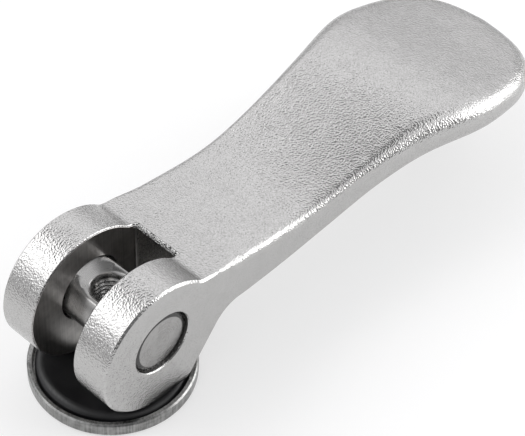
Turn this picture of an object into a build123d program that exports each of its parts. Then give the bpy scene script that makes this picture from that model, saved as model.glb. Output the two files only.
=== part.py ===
from build123d import *
import math
import os

os.makedirs("parts", exist_ok=True)

# stud thread
thread_d = 5.0  # M5
thread_pitch = 0.8
stud_gap = 0.25  # radial, around the stud in the washer and the pad

# washer
washer_d = 24.0
washer_t = 2.2
washer_rim = 0.75  # width of the raised rim
washer_floor = 0.8  # thickness under the pad
washer_break = 0.25

# thrust pad
pad_gap = 0.35  # radial, to the washer's rim
pad_low = 1.15  # thickness under the cheeks
trough_r = 40.0
pad_edge_r = 1.1

# swivel nut
pin_d = 9.7
pin_fit = 0.05  # radial running clearance in the bore
pin_inset = 0.35  # each end below its cheek's face
pin_end_flat_d = 7.9
pin_end_chamfer = 0.45  # along the pin
sink_angle = 118.0
sink_reach = 0.7  # where the sink meets the barrel's flanks, of the barrel's radius

# cam head
head_w = 20.0
slot_w = 8.0
slot_past = 1.2  # from the valley on the cam's top back to the slot's rear wall
cam_r = 9.85  # on the released side
cam_lift = 1.75  # over half a turn
cam_gap = 0.3  # clearance between the cheeks and the pad
sole_end = 4.95  # corner of the flat sole, from the pin's axis
sole_corner_r = 2.0
rise_angle = 51.5  # of the face from the sole up to the handle
throat_r = 5.0
valley_angle = 41.0  # where the handle's top meets the cam, above the pin's level
valley_r = 2.5
cheek_edge = 0.3  # chamfer
slot_edge = 0.2
slot_corner_r = 0.4
bore_slot_chamfer = 0.35
bore_face_chamfer = 0.15

# handle
reach = 81.0  # pin's axis to the tip
root_past = 5.15  # where the head ends, past the cam's radius
root_t = 7.7
root_rise = 1.15  # middle of the thickness above the pin's axis
neck_t = 6.4
neck_rise = 0.5
waist_t = 6.2
waist_rise = 2.3
crest_t = 7.0
crest_rise = 3.1
paddle_w = 29.9
paddle_t = 6.5
paddle_rise = 2.25
paddle_end = 18.6  # from the widest place to the tip
end_fullness = 2.6  # of the rounded end in plan, 2 is an ellipse
droop_rise = 0.62
tip_rise = -1.35
tip_t = 5.8
neck_edge_r = 1.2
neck_under_r = 0.7
paddle_edge_r = 2.75
crown = 0.5
root_round_start = 0.25  # of the way from the valley to the root, where the top edges start to round
root_step = 0.02  # the handle starts this far inside the head's outline
round_pull = 0.4477  # of the radius, from the corner to the pull points of a quarter round

minor_r = thread_d / 2 - 0.5413 * thread_pitch
hole_r = thread_d / 2 + stud_gap
bore_r = pin_d / 2 + pin_fit
cam_rate = cam_lift / math.pi
sole_turn = math.atan(cam_rate / (cam_r + cam_lift))
sole_drop = (cam_r + cam_lift + cam_rate * sole_turn) * math.cos(sole_turn)
pad_low_z = -sole_drop - cam_gap
pad_z = pad_low_z - pad_low
washer_z = pad_z - washer_floor
recess_r = washer_d / 2 - washer_rim
pad_r = recess_r - pad_gap
root_x = cam_r + root_past
widest_x = reach - paddle_end


def along(part_way):
    return root_x + part_way * (widest_x - root_x)


def beyond(part_way):
    return widest_x + part_way * paddle_end


def bends(stations):
    # second derivatives of the natural cubic through the stations
    n = len(stations)
    m = [0.0] * n
    for _ in range(200):
        for i in range(1, n - 1):
            (x0, v0), (x1, v1), (x2, v2) = stations[i - 1 : i + 2]
            turn = (v2 - v1) / (x2 - x1) - (v1 - v0) / (x1 - x0)
            m[i] = (6 * turn - (x1 - x0) * m[i - 1] - (x2 - x1) * m[i + 1]) / (2 * (x2 - x0))
    return m


def smooth(stations, x):
    m = bends(stations)
    i = 0
    while i < len(stations) - 2 and x > stations[i + 1][0]:
        i += 1
    (x0, v0), (x1, v1) = stations[i : i + 2]
    h = x1 - x0
    p = (x1 - x) / h
    q = (x - x0) / h
    return p * v0 + q * v1 + ((p**3 - p) * m[i] + (q**3 - q) * m[i + 1]) * h**2 / 6


rise_line = [
    (along(0), root_rise),
    (along(0.29), neck_rise),
    (along(0.595), waist_rise),
    (along(0.8), crest_rise),
    (along(1), paddle_rise),
    (beyond(0.44), droop_rise),
    (beyond(1), tip_rise),
]
thickness_line = [
    (along(0), root_t),
    (along(0.29), neck_t),
    (along(0.595), waist_t),
    (along(0.83), crest_t),
    (along(1), paddle_t),
    (beyond(1), tip_t),
]
width_line = [
    (along(0), head_w / 2),
    (along(0.15), head_w / 2),
    (along(0.36), head_w / 2 + 0.03 * (paddle_w - head_w) / 2),
    (along(0.6), head_w / 2 + 0.25 * (paddle_w - head_w) / 2),
    (along(0.83), head_w / 2 + 0.69 * (paddle_w - head_w) / 2),
    (along(0.95), head_w / 2 + 0.955 * (paddle_w - head_w) / 2),
    (along(1), paddle_w / 2),
    (beyond(0.1), paddle_w / 2),
]
top_edge_line = [
    (along(0), neck_edge_r),
    (along(0.29), neck_edge_r),
    (along(0.5), neck_edge_r),
    (along(0.8), paddle_edge_r),
    (along(1), paddle_edge_r),
]
under_edge_line = [
    (along(0), cheek_edge),
    (along(0.29), neck_under_r),
    (along(0.5), neck_under_r * 1.5),
    (along(0.8), paddle_edge_r),
    (along(1), paddle_edge_r),
]


def end_width(x):
    reached = (x - widest_x) / paddle_end
    return paddle_w / 2 * (1 - reached**end_fullness) ** (1 / end_fullness)


def end_inset(x, r):
    # how far a rim rounding of radius r reaches in across a section of the rounded end
    reached = (x - widest_x) / paddle_end
    fall = (1 - reached**end_fullness) ** (1 / end_fullness - 1)
    slant = paddle_w / 2 / paddle_end * reached ** (end_fullness - 1) * fall
    free = r * math.sqrt(1 + slant**2)
    most = 0.92 * end_width(x)
    return (free**-4 + most**-4) ** -0.25


def section(x):
    x_in = min(x, widest_x)
    over_r = smooth(top_edge_line, x_in)
    under_r = smooth(under_edge_line, x_in)
    half = smooth(thickness_line, x) / 2
    over_in = over_r
    under_in = under_r
    half_w = smooth(width_line, x_in)
    if x == root_x:
        half -= root_step
        half_w -= root_step
    if x > widest_x:
        half_w = end_width(x)
        over_in = end_inset(x, over_r)
        under_in = end_inset(x, under_r)
        into = max(0, (x - (reach - paddle_edge_r)) / paddle_edge_r)
        half *= math.sqrt(1 - into**2)
    over_r = min(over_r, 0.9 * half)
    under_r = min(under_r, 0.9 * half)
    grown = min(1, (x - root_x) / root_x)
    arch = crown * grown**2 * (3 - 2 * grown) * (half_w / (paddle_w / 2)) ** 2
    arch = min(arch, 0.08 * half)
    middle = smooth(rise_line, x)
    top = middle + half
    low = middle - half
    shoulder = half_w - over_in
    fall = 2 * arch / shoulder * (1 - round_pull) * over_in
    with BuildLine(Plane(origin=(x, 0, 0), x_dir=(0, 1, 0), z_dir=(1, 0, 0))) as ring:
        for side in (1, -1):
            under = (side * (half_w - under_in), low)
            under_pull = (side * (half_w - round_pull * under_in), low)
            foot = (side * half_w, low + under_r)
            foot_pull = (side * half_w, low + round_pull * under_r)
            brow = (side * half_w, top - arch - over_r)
            brow_pull = (side * half_w, top - arch - round_pull * over_r)
            over = (side * shoulder, top - arch)
            over_pull = (side * (half_w - round_pull * over_in), top - arch - fall)
            if side > 0:
                Line((-under[0], low), under)
                Bezier(under, under_pull, foot_pull, foot)
                Line(foot, brow)
                Bezier(brow, brow_pull, over_pull, over)
                Bezier(over, (0, top + arch), (-over[0], over[1]))
            else:
                Bezier(over, over_pull, brow_pull, brow)
                Line(brow, foot)
                Bezier(foot, foot_pull, under_pull, under)
    return ring.wire()


# cam head: one outline across both cheeks
def cam_point(angle):
    turned = math.radians(angle)
    r = cam_r + cam_rate * (turned - math.pi / 2)
    return (r * math.cos(turned), r * math.sin(turned))


def handle_face(x, side):
    return smooth(rise_line, x) + side * smooth(thickness_line, x) / 2


def slope_at_root(side):
    return (handle_face(root_x + 0.01, side) - handle_face(root_x, side)) / 0.01


top_end = (root_x, handle_face(root_x, 1))
low_end = (root_x, handle_face(root_x, -1))
valley_turn = math.radians(valley_angle)
valley = (cam_r * math.cos(valley_turn), cam_r * math.sin(valley_turn))
slot_back = valley[0] + slot_past
low_slope = slope_at_root(-1)
rise_slope = math.tan(math.radians(rise_angle))
throat_x = (low_end[1] - low_slope * root_x + sole_drop + rise_slope * sole_end) / (rise_slope - low_slope)
throat = (throat_x, rise_slope * (throat_x - sole_end) - sole_drop)
cam_end = 270 + math.degrees(sole_turn)
spiral = [cam_point(a) for a in (90, 135, 180, 225, cam_end)]

top_arc = TangentArc(top_end, valley, tangent=(-1, -slope_at_root(1)))


def shoulder_cut(part_way, side):
    # a section of what the rounding takes off the head's top edge, growing towards the handle
    place = top_arc @ (1 - root_round_start - (1 - root_round_start) * part_way)
    x, top = place.X, place.Y
    r = cheek_edge + part_way * (neck_edge_r - cheek_edge)
    wide = head_w / 2
    with BuildLine(Plane(origin=(x, 0, 0), x_dir=(0, 1, 0), z_dir=(1, 0, 0))) as ring:
        Bezier(
            (side * (wide - r), top),
            (side * (wide - round_pull * r), top),
            (side * wide, top - round_pull * r),
            (side * wide, top - r),
        )
        Polyline(
            (side * wide, top - r),
            (side * (wide + 1), top - r),
            (side * (wide + 1), top + 1),
            (side * (wide - r), top + 1),
            (side * (wide - r), top),
        )
    return ring.wire()


with BuildPart() as head:
    with BuildSketch(Plane.XZ) as outline:
        with BuildLine():
            arc = TangentArc(spiral[0], spiral[1], tangent=(-cam_r, cam_rate))
            arc = TangentArc(spiral[1], spiral[2], tangent=arc % 1)
            arc = TangentArc(spiral[2], spiral[3], tangent=arc % 1)
            TangentArc(spiral[4], spiral[3], tangent=(-1, 0))
            Line(spiral[4], (sole_end, -sole_drop))
            Line((sole_end, -sole_drop), throat)
            Line(throat, low_end)
            Line(low_end, top_end)
            add(top_arc)
            TangentArc(spiral[0], valley, tangent=(cam_r, -cam_rate))
        make_face()
        for corner, r in (
            (valley, valley_r),
            ((sole_end, -sole_drop), sole_corner_r),
            (throat, throat_r),
        ):
            fillet(outline.vertices().sort_by_distance(corner)[0], r)
    extrude(amount=head_w / 2, both=True)
    slot_len = cam_r + cam_lift + slot_back + 1
    with Locations((slot_back - slot_len / 2, 0, 0)):
        Box(slot_len, slot_w, 4 * (cam_r + cam_lift), mode=Mode.SUBTRACT)
    for side in (0, -1):
        cheek = head.faces().filter_by(Axis.Y).sort_by(Axis.Y)[side]
        rim = [e for e in cheek.edges() if e.center().X < root_x - 0.01]
        chamfer(rim, cheek_edge)
    for side in (1, -1):
        rounding = Solid.make_loft([shoulder_cut(part_way, side) for part_way in (0, 1 / 3, 2 / 3, 1)])
        add(rounding, mode=Mode.SUBTRACT)
    inner = [e for e in head.edges().filter_by(Axis.Z) if abs(e.center().X - slot_back) < 0.001]
    fillet(inner, slot_corner_r)
    back = head.faces().filter_by(Axis.X).sort_by(lambda f: abs(f.center().X - slot_back))[0]
    chamfer(back.edges().filter_by(Axis.Y), slot_edge)
    Cylinder(bore_r, 2 * head_w, rotation=(90, 0, 0), mode=Mode.SUBTRACT)
    for y, size in ((slot_w / 2, bore_slot_chamfer), (head_w / 2, bore_face_chamfer)):
        rims = [e for e in head.edges().filter_by(GeomType.CIRCLE) if abs(e.radius - bore_r) < 0.001]
        chamfer([e for e in rims if abs(abs(e.center().Y) - y) < 0.001], size)

# handle: sections from the head to the tip
places = [root_x] + [along(k) for k in (0.03, 0.07, 0.12, 0.2, 0.3, 0.45, 0.6, 0.7, 0.8, 0.9, 1)]
places += [beyond(k) for k in (0.2, 0.4, 0.58, 0.72, 0.83, 0.91, 0.965, 0.99, 0.999)]
handle = Solid.make_loft([section(x) for x in places])
lever = head.part + handle

# swivel nut
sink_r = sink_reach * pin_d / 2
sink_z = math.sqrt((pin_d / 2) ** 2 - sink_r**2)
sink_spread = math.tan(math.radians(sink_angle / 2))
sink_low = sink_z - (sink_r - minor_r) / sink_spread
sink_top_r = minor_r + (pin_d / 2 - sink_low) * sink_spread
with BuildPart() as pin:
    Cylinder(pin_d / 2, head_w - 2 * pin_inset, rotation=(90, 0, 0))
    chamfer(pin.edges().filter_by(GeomType.CIRCLE), pin_end_chamfer, (pin_d - pin_end_flat_d) / 2)
    Cylinder(minor_r, 2 * pin_d, mode=Mode.SUBTRACT)
    with Locations((0, 0, (sink_low + pin_d / 2) / 2)):
        Cone(minor_r, sink_top_r, pin_d / 2 - sink_low, mode=Mode.SUBTRACT)

# washer
upward = (Align.CENTER, Align.CENTER, Align.MIN)
with BuildPart(Plane.XY.offset(washer_z)) as washer:
    Cylinder(washer_d / 2, washer_t, align=upward)
    with Locations((0, 0, washer_floor)):
        Cylinder(recess_r, washer_t, align=upward, mode=Mode.SUBTRACT)
    Cylinder(hole_r, 4 * washer_t, mode=Mode.SUBTRACT)
    rims = washer.edges().filter_by(GeomType.CIRCLE)
    chamfer([e for e in rims if abs(e.radius - washer_d / 2) < 0.001], washer_break)

# thrust pad
with BuildPart(Plane.XY.offset(pad_z)) as pad:
    Cylinder(pad_r, pad_r, align=upward)
    with Locations((0, 0, pad_low + trough_r)):
        Cylinder(trough_r, 4 * pad_r, rotation=(90, 0, 0), mode=Mode.SUBTRACT)
    rim = [e for e in pad.edges() if e.center().Z > pad_z + 0.1 and e.geom_type != GeomType.LINE]
    fillet(rim, min(pad_edge_r, 0.9 * pad_low))
    Cylinder(hole_r, 4 * pad_r, mode=Mode.SUBTRACT)

for name, solid in (("lever", lever), ("pin", pin.part), ("pad", pad.part), ("washer", washer.part)):
    export_step(solid, f"parts/{name}.step")
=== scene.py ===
import math

import bmesh
import bpy
from mathutils import Matrix, Vector


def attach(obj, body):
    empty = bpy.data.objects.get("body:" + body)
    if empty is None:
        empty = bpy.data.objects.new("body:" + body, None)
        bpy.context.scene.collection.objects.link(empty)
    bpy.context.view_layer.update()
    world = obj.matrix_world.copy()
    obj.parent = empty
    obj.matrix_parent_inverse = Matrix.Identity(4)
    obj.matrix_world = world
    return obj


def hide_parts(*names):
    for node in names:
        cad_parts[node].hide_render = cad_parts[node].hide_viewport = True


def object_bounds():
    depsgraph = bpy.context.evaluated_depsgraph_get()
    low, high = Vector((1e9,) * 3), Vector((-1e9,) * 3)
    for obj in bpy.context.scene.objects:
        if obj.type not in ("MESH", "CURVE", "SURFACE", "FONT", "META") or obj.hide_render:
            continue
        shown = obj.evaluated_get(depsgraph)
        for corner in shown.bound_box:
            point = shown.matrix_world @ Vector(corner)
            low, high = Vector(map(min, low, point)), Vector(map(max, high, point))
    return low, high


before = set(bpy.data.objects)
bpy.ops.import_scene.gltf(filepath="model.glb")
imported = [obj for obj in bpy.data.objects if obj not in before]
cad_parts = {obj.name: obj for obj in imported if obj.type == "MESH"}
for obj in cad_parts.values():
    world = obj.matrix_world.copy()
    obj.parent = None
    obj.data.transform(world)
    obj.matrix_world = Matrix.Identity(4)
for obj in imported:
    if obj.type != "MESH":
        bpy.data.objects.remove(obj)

cadLow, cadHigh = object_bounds()
print("frame loaded:", ", ".join(sorted(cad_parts)))


# shader helpers

def addNode(tree, kind, **settings):
    node = tree.nodes.new(kind)
    for name, value in settings.items():
        setattr(node, name, value)
    return node


def feed(tree, target, socket, source):
    # a plain value is set on the socket, anything else is linked to it
    if isinstance(source, bpy.types.NodeSocket):
        tree.links.new(source, target.inputs[socket])
    else:
        target.inputs[socket].default_value = source


def startGroup(name, inputs, outputs):
    tree = bpy.data.node_groups.new(name, "ShaderNodeTree")
    for label, kind, value in inputs:
        made = tree.interface.new_socket(name=label, in_out="INPUT", socket_type=kind)
        if value is not None:
            made.default_value = value
    for label, kind in outputs:
        tree.interface.new_socket(name=label, in_out="OUTPUT", socket_type=kind)
    entry = addNode(tree, "NodeGroupInput")
    leave = addNode(tree, "NodeGroupOutput")
    return tree, entry.outputs, leave


def noise(tree, vector, scale, detail=2.0, roughness=0.5):
    node = addNode(tree, "ShaderNodeTexNoise")
    feed(tree, node, "Vector", vector)
    feed(tree, node, "Scale", scale)
    feed(tree, node, "Detail", detail)
    feed(tree, node, "Roughness", roughness)
    return node.outputs["Fac"]


def maths(tree, operation, a, b=None, c=None):
    node = addNode(tree, "ShaderNodeMath", operation=operation)
    for index, value in enumerate((a, b, c)):
        if value is not None:
            feed(tree, node, index, value)
    return node.outputs[0]


def remap(tree, value, lowIn, highIn, lowOut=0.0, highOut=1.0):
    node = addNode(tree, "ShaderNodeMapRange", interpolation_type="SMOOTHSTEP")
    for socket, source in zip(("Value", "From Min", "From Max", "To Min", "To Max"),
                              (value, lowIn, highIn, lowOut, highOut)):
        feed(tree, node, socket, source)
    return node.outputs["Result"]


noiseSpan = (0.3, 0.7)  # a noise seldom leaves this range


def spread(tree, value, low=0.0, high=1.0):
    return remap(tree, value, *noiseSpan, low, high)


def blendColors(tree, factor, a, b):
    node = addNode(tree, "ShaderNodeMix", data_type="RGBA")
    feed(tree, node, 0, factor)
    feed(tree, node, 6, a)
    feed(tree, node, 7, b)
    return node.outputs[2]


def blendValues(tree, factor, a, b):
    return maths(tree, "MULTIPLY_ADD", factor, maths(tree, "SUBTRACT", b, a), a)


def splitVector(tree, vector):
    node = addNode(tree, "ShaderNodeSeparateXYZ")
    feed(tree, node, "Vector", vector)
    return node.outputs


def mapVector(tree, vector, setting, value):
    node = addNode(tree, "ShaderNodeMapping")
    feed(tree, node, "Vector", vector)
    feed(tree, node, setting, value)
    return node.outputs["Vector"]


def radiusAbout(tree, vector, axis):
    parts = splitVector(tree, vector)
    squares = [maths(tree, "MULTIPLY", parts[label], parts[label]) for label in "XYZ" if label != axis]
    return maths(tree, "SQRT", maths(tree, "ADD", *squares))


def within(tree, value, middle, half, fade):
    # 1 where the value is at most half away from the middle
    away = maths(tree, "ABSOLUTE", maths(tree, "SUBTRACT", value, middle))
    return remap(tree, away, half, half + fade, 1.0, 0.0)


def nearBox(tree, vector, middle, reach, fade):
    parts = splitVector(tree, vector)
    inside = 1.0
    for label, centre, half in zip("XYZ", middle, reach):
        inside = maths(tree, "MULTIPLY", inside, within(tree, parts[label], centre, half, fade))
    return inside


# the skin that steel balls leave on a blasted casting: dimples, grit and a slow unevenness
blastedGrain = {
    "gritScale": 5.0,  # per millimetre
    "swellScale": 0.4,
    "gritInMottle": 0.75,
    "swellInMottle": 0.25,
}


def buildBlastedSkin():
    tree, given, leave = startGroup(
        "blastedSkin",
        [("Vector", "NodeSocketVector", None), ("Dimple Scale", "NodeSocketFloat", 4.0),
         ("Grit", "NodeSocketFloat", 0.5), ("Swell", "NodeSocketFloat", 0.4)],
        [("Height", "NodeSocketFloat"), ("Mottle", "NodeSocketFloat")])
    dimples = addNode(tree, "ShaderNodeTexVoronoi", feature="SMOOTH_F1")
    feed(tree, dimples, "Vector", given["Vector"])
    feed(tree, dimples, "Scale", given["Dimple Scale"])
    grit = noise(tree, given["Vector"], blastedGrain["gritScale"], 1.0)
    swell = noise(tree, given["Vector"], blastedGrain["swellScale"])
    height = maths(tree, "MULTIPLY_ADD", grit, given["Grit"], dimples.outputs["Distance"])
    feed(tree, leave, "Height", maths(tree, "MULTIPLY_ADD", swell, given["Swell"], height))
    slow = maths(tree, "MULTIPLY", swell, blastedGrain["swellInMottle"])
    feed(tree, leave, "Mottle", maths(tree, "MULTIPLY_ADD", grit, blastedGrain["gritInMottle"], slow))
    return tree


# the fine rings or streaks that a tool leaves, along one direction
toolLines = {
    "detail": 3.0,
    "roughness": 0.65,
    "smearScale": 0.9,
    "lineInTone": 0.6,
    "smearInTone": 0.4,
}


def buildToolMarks():
    tree, given, leave = startGroup(
        "toolMarks",
        [("Along", "NodeSocketFloat", 0.0), ("Around", "NodeSocketVector", None),
         ("Pitch", "NodeSocketFloat", 0.1)],
        [("Height", "NodeSocketFloat"), ("Tone", "NodeSocketFloat")])
    stretched = addNode(tree, "ShaderNodeCombineXYZ")
    feed(tree, stretched, "X", maths(tree, "DIVIDE", given["Along"], given["Pitch"]))
    line = noise(tree, stretched.outputs[0], 1.0, toolLines["detail"], toolLines["roughness"])
    smear = noise(tree, given["Around"], toolLines["smearScale"])
    feed(tree, leave, "Height", line)
    smeared = maths(tree, "MULTIPLY", smear, toolLines["smearInTone"])
    feed(tree, leave, "Tone", maths(tree, "MULTIPLY_ADD", line, toolLines["lineInTone"], smeared))
    return tree


blastedSkin = buildBlastedSkin()
toolMarks = buildToolMarks()


def useGroup(tree, group, sources):
    node = addNode(tree, "ShaderNodeGroup", node_tree=group)
    for label, source in sources.items():
        feed(tree, node, label, source)
    return node.outputs


def startMaterial(name, fixed):
    made = bpy.data.materials.new(name)
    made.use_nodes = True
    tree = made.node_tree
    shader = tree.nodes["Principled BSDF"]
    for label, value in fixed.items():
        shader.inputs[label].default_value = value
    return made, tree, shader


def millimetres(tree):
    # object coordinates in millimetres, because the patterns are a fraction of one
    place = addNode(tree, "ShaderNodeTexCoord")
    return mapVector(tree, place.outputs["Object"], "Scale", (1000.0, 1000.0, 1000.0))


def bump(tree, shader, height, distance, edgeRadius=0.0):
    node = addNode(tree, "ShaderNodeBump")
    feed(tree, node, "Height", height)
    feed(tree, node, "Distance", distance)
    if edgeRadius:
        rounded = addNode(tree, "ShaderNodeBevel", samples=6)
        feed(tree, rounded, "Radius", edgeRadius)
        feed(tree, node, "Normal", rounded.outputs["Normal"])
    feed(tree, shader, "Normal", node.outputs["Normal"])


# the cast lever

castSteel = {
    "bright": (0.54, 0.535, 0.53, 1.0),
    "dull": (0.45, 0.445, 0.44, 1.0),
    "roughness": (0.16, 0.24),
    "dimpleScale": 4.0,
    "grit": 0.55,
    "swell": 0.4,
    "grainHeight": 0.00007,
    # the slot is milled, with the cutter's streaks: its middle and half size in millimetres
    "slotMiddle": (-1.6, 0.0, -2.0),
    "slotReach": (10.2, 4.02, 20.0),
    "boxFade": 0.1,
    "milled": (0.58, 0.565, 0.55, 1.0),
    "milledStreak": (0.42, 0.41, 0.40, 1.0),
    "milledSpan": (0.35, 0.65),
    "milledRoughness": 0.3,
    "streakPitch": 0.35,
    "streakHeight": 0.15,  # of the grain's height
    # the torn edge that the slot's cutter left: raised by the bump, coloured with a painted highlight and
    # painted shade in its pits
    "tornEdgeMiddle": (8.65, 0.0, 6.2),
    "tornEdgeReach": (0.38, 4.1, 0.7),
    "tornEdgeHeight": 9.0,  # of the grain's height
    "tearScale": 3.2,
    "tearSpan": (0.42, 0.5),
    # painted highlight on the torn edge, painted shade in its pits
    "tornEdgePaintedHighlight": (0.95, 0.95, 0.94, 1.0),
    "tornPitPaintedShade": (0.05, 0.05, 0.05, 1.0),
}


def makeCastSteel():
    values = castSteel
    made, tree, shader = startMaterial("blastedCastSteel", {"Metallic": 1.0})
    vector = millimetres(tree)
    parts = splitVector(tree, vector)
    skin = useGroup(tree, blastedSkin, {"Vector": vector, "Dimple Scale": values["dimpleScale"],
                                        "Grit": values["grit"], "Swell": values["swell"]})
    streaks = useGroup(tree, toolMarks, {"Along": maths(tree, "ADD", parts["X"], parts["Y"]),
                                         "Around": vector, "Pitch": values["streakPitch"]})
    slot = nearBox(tree, vector, values["slotMiddle"], values["slotReach"], values["boxFade"])
    torn = nearBox(tree, vector, values["tornEdgeMiddle"], values["tornEdgeReach"], values["boxFade"])
    ragged = noise(tree, vector, values["tearScale"], 3.0, 0.7)

    color = blendColors(tree, spread(tree, skin["Mottle"]), values["dull"], values["bright"])
    streaked = remap(tree, streaks["Tone"], *values["milledSpan"])
    milled = blendColors(tree, streaked, values["milledStreak"], values["milled"])
    color = blendColors(tree, slot, color, milled)
    # painted highlight along the torn edge, with painted shade in its pits
    tornHighlightAndShade = blendColors(tree, remap(tree, ragged, *values["tearSpan"]), values["tornPitPaintedShade"], values["tornEdgePaintedHighlight"])
    feed(tree, shader, "Base Color", blendColors(tree, torn, color, tornHighlightAndShade))

    roughness = spread(tree, skin["Mottle"], *values["roughness"])
    feed(tree, shader, "Roughness", blendValues(tree, slot, roughness, values["milledRoughness"]))

    cast = maths(tree, "MULTIPLY", skin["Height"], maths(tree, "SUBTRACT", 1.0, slot))
    streakHeight = maths(tree, "MULTIPLY", slot, values["streakHeight"])
    height = maths(tree, "MULTIPLY_ADD", streaks["Height"], streakHeight, cast)
    raised = maths(tree, "MULTIPLY", maths(tree, "MULTIPLY", torn, ragged), values["tornEdgeHeight"])
    bump(tree, shader, maths(tree, "ADD", height, raised), values["grainHeight"])
    return made


# the turned pieces

pinSteel = {
    "bright": (0.40, 0.395, 0.39, 1.0),
    "dull": (0.31, 0.305, 0.30, 1.0),
    "roughness": (0.22, 0.34),
    "ringPitch": 0.12,
    "ringHeight": 0.000006,
    "edgeRadius": 0.00005,
}

# the parts of the pin that were cut after turning, in millimetres, and the painted shade and painted highlights
# put on them
pinZones = {
    "chamferMiddle": 4.4,  # radius about the pin's length
    "chamferHalf": 0.39,
    "chamferFade": 0.06,
    "chamferFrom": 9.0,  # distance from the pin's middle
    # painted shade on the chamfer ring at the pin's ends
    "chamferPaintedShade": (0.08, 0.079, 0.078, 1.0),
    "sinkBase": 1.423,  # the sink's height at the stud's axis and its rise per radius
    "sinkRise": 0.601,
    "sinkHalf": 0.03,
    "sinkFade": 0.03,
    # painted shade in the sink around the stud's thread
    "sinkPaintedShade": (0.30, 0.297, 0.294, 1.0),
    "boreRadius": (2.57, 2.62),  # of the thread, about the stud
    "boreTop": 2.72,
    "boreRoughness": 0.16,
    "crest": (2.12, 2.4),  # radii over which the thread's painted highlight on its crests turns to painted shade in its roots
    "crestPaintedHighlight": (0.9, 0.895, 0.89, 1.0),
    "rootPaintedShade": (0.07, 0.069, 0.068, 1.0),
}

washerSteel = {
    "bright": (0.37, 0.37, 0.365, 1.0),
    "dull": (0.15, 0.15, 0.147, 1.0),
    "roughness": (0.24, 0.38),
    "ringPitch": 0.1,
    "ringHeight": 0.000005,
    "edgeRadius": 0.00012,
    "rimStreak": 0.5,  # upright streaks left on its rim
    "rimStreakScale": (3.5, 3.5, 0.1),
}


def paintPinZones(tree, vector, color, roughness):
    zones = pinZones
    parts = splitVector(tree, vector)
    ring = within(tree, radiusAbout(tree, vector, "Y"), zones["chamferMiddle"], zones["chamferHalf"],
                  zones["chamferFade"])
    atEnds = maths(tree, "GREATER_THAN", maths(tree, "ABSOLUTE", parts["Y"]), zones["chamferFrom"])
    # painted shade: the chamfer ring at the pin's ends is darkened
    color = blendColors(tree, maths(tree, "MULTIPLY", ring, atEnds), color, zones["chamferPaintedShade"])
    bore = radiusAbout(tree, vector, "Z")
    cone = maths(tree, "MULTIPLY_ADD", bore, zones["sinkRise"], zones["sinkBase"])
    sink = within(tree, parts["Z"], cone, zones["sinkHalf"], zones["sinkFade"])
    # painted shade in the sink
    color = blendColors(tree, sink, color, zones["sinkPaintedShade"])
    # painted highlight on the thread's crests and painted shade in its roots
    paintedRidgeLight = blendColors(tree, remap(tree, bore, *zones["crest"]), zones["crestPaintedHighlight"], zones["rootPaintedShade"])
    below = maths(tree, "LESS_THAN", parts["Z"], zones["boreTop"])
    cut = maths(tree, "MULTIPLY", remap(tree, bore, *zones["boreRadius"], 1.0, 0.0), below)
    return blendColors(tree, cut, color, paintedRidgeLight), blendValues(tree, cut, roughness, zones["boreRoughness"])


def makeTurnedSteel(name, axis, values, paintZones=None):
    made, tree, shader = startMaterial(name, {"Metallic": 1.0})
    vector = millimetres(tree)
    along = maths(tree, "ADD", radiusAbout(tree, vector, axis), splitVector(tree, vector)[axis])
    marks = useGroup(tree, toolMarks, {"Along": along, "Around": vector, "Pitch": values["ringPitch"]})
    tone = marks["Tone"]
    if "rimStreak" in values:
        upright = mapVector(tree, vector, "Scale", values["rimStreakScale"])
        streak = maths(tree, "SUBTRACT", noise(tree, upright, 1.0), 0.5)
        tone = maths(tree, "MULTIPLY_ADD", streak, values["rimStreak"], tone)
    color = blendColors(tree, spread(tree, tone), values["dull"], values["bright"])
    roughness = spread(tree, marks["Tone"], *values["roughness"])
    if paintZones:
        color, roughness = paintZones(tree, vector, color, roughness)
    feed(tree, shader, "Base Color", color)
    feed(tree, shader, "Roughness", roughness)
    bump(tree, shader, marks["Height"], values["ringHeight"], values["edgeRadius"])
    return made


# the plastic pad

mouldedPlastic = {
    "deep": (0.007, 0.007, 0.008, 1.0),
    "worn": (0.015, 0.015, 0.016, 1.0),
    "roughness": (0.34, 0.48),
    "grainScale": 4.0,
    "grainHeight": 0.00001,
    "cloudScale": 0.25,
    "cloudSpan": (0.35, 0.65),
}


def makeMouldedPlastic():
    values = mouldedPlastic
    made, tree, shader = startMaterial("mouldedBlackPlastic", {"IOR": 1.5})
    vector = millimetres(tree)
    grain = noise(tree, vector, values["grainScale"], 3.0, 0.6)
    cloud = remap(tree, noise(tree, vector, values["cloudScale"]), *values["cloudSpan"])
    feed(tree, shader, "Base Color", blendColors(tree, cloud, values["deep"], values["worn"]))
    feed(tree, shader, "Roughness", spread(tree, grain, *values["roughness"]))
    bump(tree, shader, grain, values["grainHeight"])
    return made


def dress(name, material):
    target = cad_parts[name]
    target.data.materials.clear()
    target.data.materials.append(material)


dress("lever", makeCastSteel())
dress("washer", makeTurnedSteel("turnedWasherSteel", "Z", washerSteel))
dress("pad", makeMouldedPlastic())
print("materials on the nodes")


# the cross pin, with its thread cut for the stud

thread = {
    "majorRadius": 0.0025,
    "pitch": 0.0008,
    "rootHalf": 0.00005,  # half width of the groove at its bottom
    "flankRise": 0.577,  # half width gained per depth, for 60 degree flanks
    "innerRadius": 0.00196,
    "stepsPerTurn": 40,
    "low": -0.0062,
    "turns": 12,
    "smoothAngle": 40.0,
    "merge": 1e-6,
    "cutterMerge": 1e-7,
}


def addObject(name, mesh):
    made = bpy.data.objects.new(name, mesh)
    bpy.context.scene.collection.objects.link(made)
    return made


def finishShape(name, shape):
    mesh = bpy.data.meshes.new(name)
    shape.to_mesh(mesh)
    shape.free()
    return addObject(name, mesh)


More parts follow.
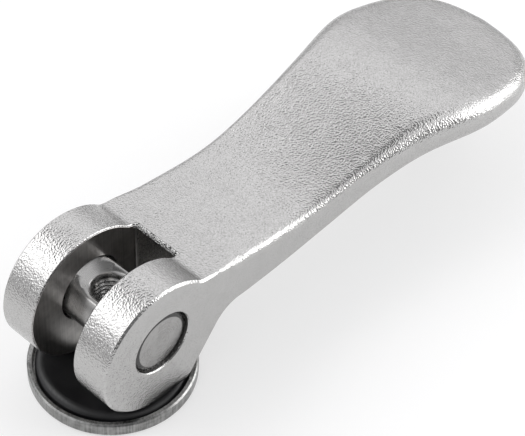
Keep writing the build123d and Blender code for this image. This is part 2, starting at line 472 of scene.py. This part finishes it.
def makeThreadCutter():
    shape = bmesh.new()
    wide = thread["rootHalf"] + (thread["majorRadius"] - thread["innerRadius"]) * thread["flankRise"]
    corners = ((thread["innerRadius"], -wide), (thread["majorRadius"], -thread["rootHalf"]),
               (thread["majorRadius"], thread["rootHalf"]), (thread["innerRadius"], wide))
    points = [shape.verts.new((radius, 0.0, thread["low"] + rise)) for radius, rise in corners]
    tooth = shape.faces.new(points)
    bmesh.ops.spin(shape, geom=[tooth, *tooth.edges, *tooth.verts], cent=(0, 0, 0), axis=(0, 0, 1),
                   dvec=(0, 0, thread["pitch"] / thread["stepsPerTurn"]),
                   angle=2 * math.pi * thread["turns"], steps=thread["stepsPerTurn"] * thread["turns"],
                   use_merge=False, use_duplicate=False)
    bmesh.ops.remove_doubles(shape, verts=shape.verts, dist=thread["cutterMerge"])
    bmesh.ops.recalc_face_normals(shape, faces=shape.faces)
    return finishShape("threadCutter", shape)


def makeThreadedPin():
    shape = bmesh.new()
    shape.from_mesh(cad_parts["pin"].data)
    bmesh.ops.remove_doubles(shape, verts=shape.verts, dist=thread["merge"])
    pin = finishShape("threadedPin", shape)
    cutter = makeThreadCutter()
    cut = pin.modifiers.new("cutThread", "BOOLEAN")
    cut.operation = "DIFFERENCE"
    cut.solver = "EXACT"
    cut.object = cutter
    finished = bpy.data.meshes.new_from_object(pin.evaluated_get(bpy.context.evaluated_depsgraph_get()))
    pin.modifiers.clear()
    pin.data = finished
    bpy.data.objects.remove(cutter)
    finished.shade_smooth()
    finished.set_sharp_from_angle(angle=math.radians(thread["smoothAngle"]))
    finished.materials.clear()
    finished.materials.append(makeTurnedSteel("turnedSteel", "Y", pinSteel, paintPinZones))
    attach(pin, "nut")
    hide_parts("pin")
    return pin


threadedPin = makeThreadedPin()
print("thread cut in the pin:", len(threadedPin.data.polygons), "faces")


# floor, light and camera

studio = {
    "floorSize": 6.0,
    "floorColor": (0.55, 0.55, 0.55, 1.0),
    # painted shade of the floor far from the object
    "farFloorPaintedShade": (0.26, 0.26, 0.26, 1.0),
    "floorFade": (0.07, 0.17),  # distances from the object's middle over which the floor's colour darkens: painted shade, as if the paper fell out of the light
    "floorLift": 0.46,  # added where the floor is seen or mirrored, so that it reads as white
    "floorRoughness": 0.9,
    "skyStrength": 1.12,
    # sine of the elevation, brightness
    "skyBands": ((0.0, 0.18), (0.09, 0.28), (0.22, 0.8), (0.34, 1.0), (0.5, 1.07), (0.68, 1.16),
                 (0.84, 1.26), (0.87, 0.8), (0.905, 0.2), (1.0, 0.2)),
    "skyBlue": 1.01,
    # the side behind the viewer: its direction, how much darker it is, and where that starts and ends
    "darkSide": ((-0.469, -0.883, 0.0), 0.8, 0.35, 0.75),
    # name: (direction from the object, distance, width, height, watts)
    "lamps": {
        "keyLamp": ((-0.427, 0.609, 0.669), 0.8, 0.66, 0.50, 1.5),
        "edgeLamp": ((0.765, -0.597, 0.242), 0.8, 0.66, 0.42, 3.2),
    },
}


def makeFloor():
    shape = bmesh.new()
    bmesh.ops.create_grid(shape, x_segments=1, y_segments=1, size=studio["floorSize"] / 2)
    bmesh.ops.translate(shape, verts=shape.verts, vec=(0, 0, cadLow.z))
    floor = finishShape("floor", shape)
    made, tree, shader = startMaterial("paperFloor", {"Roughness": studio["floorRoughness"],
                                                      "Specular IOR Level": 0.0,
                                                      "Emission Color": (1.0, 1.0, 1.0, 1.0)})
    place = addNode(tree, "ShaderNodeTexCoord")
    middle = (cadLow + cadHigh) / 2
    centred = mapVector(tree, place.outputs["Object"], "Location", (-middle.x, -middle.y, 0.0))
    away = remap(tree, radiusAbout(tree, centred, "Z"), *studio["floorFade"])
    # painted shade: the floor's colour darkens away from the object
    feed(tree, shader, "Base Color", blendColors(tree, away, studio["floorColor"], studio["farFloorPaintedShade"]))
    path = addNode(tree, "ShaderNodeLightPath").outputs
    seen = maths(tree, "MAXIMUM", path["Is Camera Ray"], path["Is Glossy Ray"])
    seen = maths(tree, "MAXIMUM", seen, path["Is Transmission Ray"])
    feed(tree, shader, "Emission Strength", maths(tree, "MULTIPLY", seen, studio["floorLift"]))
    floor.data.materials.append(made)


def makeSky():
    world = bpy.data.worlds.new("studioSky")
    bpy.context.scene.world = world
    world.use_nodes = True
    tree = world.node_tree
    place = addNode(tree, "ShaderNodeTexCoord")
    ramp = addNode(tree, "ShaderNodeValToRGB")
    feed(tree, ramp, "Fac", splitVector(tree, place.outputs["Generated"])["Z"])
    stops = ramp.color_ramp.elements
    while len(stops) < len(studio["skyBands"]):
        stops.new(0.5)
    # a stop's color can't pass 1, so the bands are halved here and doubled in the strength
    for stop, (height, glow) in zip(stops, studio["skyBands"]):
        stop.position = height
        stop.color = (glow / 2, glow / 2, glow / 2 * studio["skyBlue"], 1.0)
    direction, drop, start, end = studio["darkSide"]
    facing = addNode(tree, "ShaderNodeVectorMath", operation="DOT_PRODUCT")
    feed(tree, facing, 0, place.outputs["Generated"])
    feed(tree, facing, 1, direction)
    level = 2 * studio["skyStrength"]
    back = tree.nodes["Background"]
    feed(tree, back, "Color", ramp.outputs["Color"])
    feed(tree, back, "Strength", remap(tree, facing.outputs["Value"], start, end, level, level * (1 - drop)))


def makeLamps():
    aim = (cadLow + cadHigh) / 2
    for name, (direction, distance, width, height, watts) in studio["lamps"].items():
        lamp = bpy.data.lights.new(name, "AREA")
        lamp.shape = "RECTANGLE"
        lamp.size = width
        lamp.size_y = height
        lamp.energy = watts
        away = Vector(direction).normalized()
        facing = away.to_track_quat("Z", "Y").to_matrix().to_4x4()
        addObject(name, lamp).matrix_world = Matrix.Translation(aim + away * distance) @ facing


viewpoint = {
    "azimuth": -48.428,
    "elevation": 47.07,
    "roll": 2.485,
    "distance": 0.28076,
    "right": 0.020934,
    "up": 0.020938,
    "lens": 137.14,
    "clipStart": 0.01,
}


def makeCamera():
    turn = math.radians(viewpoint["azimuth"])
    dip = math.radians(viewpoint["elevation"])
    roll = math.radians(viewpoint["roll"])
    ahead = Vector((-math.sin(turn) * math.cos(dip), math.cos(turn) * math.cos(dip), -math.sin(dip)))
    level = Vector((math.cos(turn), math.sin(turn), 0))
    upright = level.cross(ahead)
    right = math.cos(roll) * level + math.sin(roll) * upright
    up = math.cos(roll) * upright - math.sin(roll) * level
    foot = Vector((0, 0, cadLow.z))
    place = foot - ahead * viewpoint["distance"] + right * viewpoint["right"] + up * viewpoint["up"]
    lens = bpy.data.cameras.new("camera")
    lens.lens = viewpoint["lens"]
    lens.clip_start = viewpoint["clipStart"]
    camera = addObject("camera", lens)
    camera.matrix_world = Matrix.Translation(place) @ Matrix((right, up, -ahead)).transposed().to_4x4()
    bpy.context.scene.camera = camera


makeFloor()
makeSky()
makeLamps()
makeCamera()
bpy.context.scene.view_settings.view_transform = "Standard"
print("studio ready")
